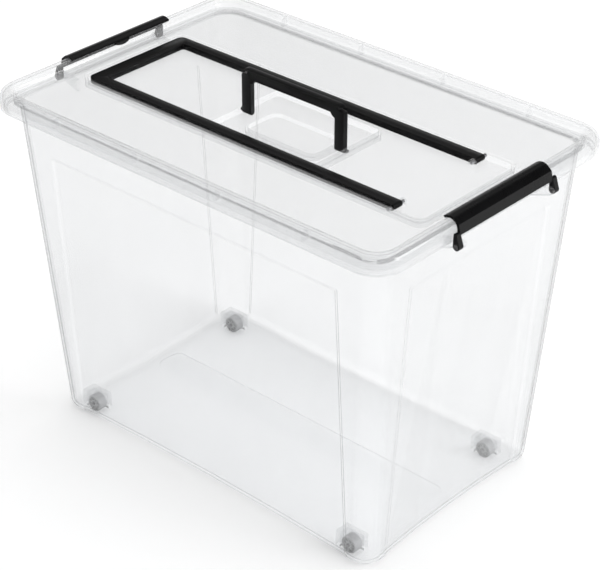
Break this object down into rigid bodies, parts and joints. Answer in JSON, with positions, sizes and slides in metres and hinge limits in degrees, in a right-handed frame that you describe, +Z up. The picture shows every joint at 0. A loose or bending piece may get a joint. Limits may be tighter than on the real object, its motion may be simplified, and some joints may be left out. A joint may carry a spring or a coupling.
{
  "type": "portable file box",
  "caption": "Clear tapered storage box on small rollers, with a lift-off lid, end clips, a folding carry handle and a long pull handle.",
  "frame": {"origin": "on the ground under the middle of the box, where the rollers stand", "axes": "+X along the box's length towards the pull handle's hinge, +Y across the width towards the back, +Z up"},
  "size_m": [0.4542, 0.296, 0.347],
  "materials": {
    "clear_tub": "clear moulded polypropylene, smooth and slightly hazy",
    "clear_lid": "clear moulded polypropylene, a little milkier on the flat panel",
    "black_handle": "black moulded plastic, fine satin grain",
    "black_clip": "black moulded plastic, satin",
    "roller_plastic": "natural grey plastic",
    "pin_steel": "plain drawn wire"
  },
  "bodies": {
    "tub": {"tub": "clear_tub", "axle_front_left": "pin_steel", "axle_front_right": "pin_steel", "axle_back_left": "pin_steel", "axle_back_right": "pin_steel"},
    "lid": {"lid": "clear_lid", "hinge_pin_front": "pin_steel", "hinge_pin_back": "pin_steel"},
    "pull_handle": {"pull_handle": "black_handle"},
    "carry_handle": {"carry_handle": "black_handle"},
    "clip_left": {"clip_left": "black_clip"},
    "clip_right": {"clip_right": "black_clip"},
    "roller_front_left": {"roller_front_left": "roller_plastic"},
    "roller_front_right": {"roller_front_right": "roller_plastic"},
    "roller_back_left": {"roller_back_left": "roller_plastic"},
    "roller_back_right": {"roller_back_right": "roller_plastic"}
  },
  "joints": [
    {"name": "lid_lift", "type": "slide", "parent": "tub", "child": "lid", "axis": [0, 0, 1], "range_m": [0, 0.15]},
    {"name": "pull_handle_raise", "type": "hinge", "parent": "lid", "child": "pull_handle", "pos_m": [0.1547, 0, 0.3122], "axis": [0, 1, 0], "range_deg": [0, 150]},
    {"name": "carry_handle_fold", "type": "hinge", "parent": "lid", "child": "carry_handle", "pos_m": [0, 0, 0.306], "axis": [1, 0, 0], "range_deg": [-90, 90]},
    {"name": "clip_right_open", "type": "hinge", "parent": "tub", "child": "clip_right", "pos_m": [0.2238, 0, 0.306], "axis": [0, 1, 0], "range_deg": [0, 120]},
    {"name": "clip_left_open", "type": "hinge", "parent": "tub", "child": "clip_left", "pos_m": [-0.2238, 0, 0.306], "axis": [0, -1, 0], "range_deg": [0, 120]},
    {"name": "roller_front_left_spin", "type": "hinge", "parent": "tub", "child": "roller_front_left", "pos_m": [-0.156, -0.099, 0.008], "axis": [0, 1, 0], "continuous": true},
    {"name": "roller_front_right_spin", "type": "hinge", "parent": "tub", "child": "roller_front_right", "pos_m": [0.156, -0.099, 0.008], "axis": [0, 1, 0], "continuous": true},
    {"name": "roller_back_left_spin", "type": "hinge", "parent": "tub", "child": "roller_back_left", "pos_m": [-0.156, 0.085, 0.008], "axis": [0, 1, 0], "continuous": true},
    {"name": "roller_back_right_spin", "type": "hinge", "parent": "tub", "child": "roller_back_right", "pos_m": [0.156, 0.085, 0.008], "axis": [0, 1, 0], "continuous": true}
  ]
}
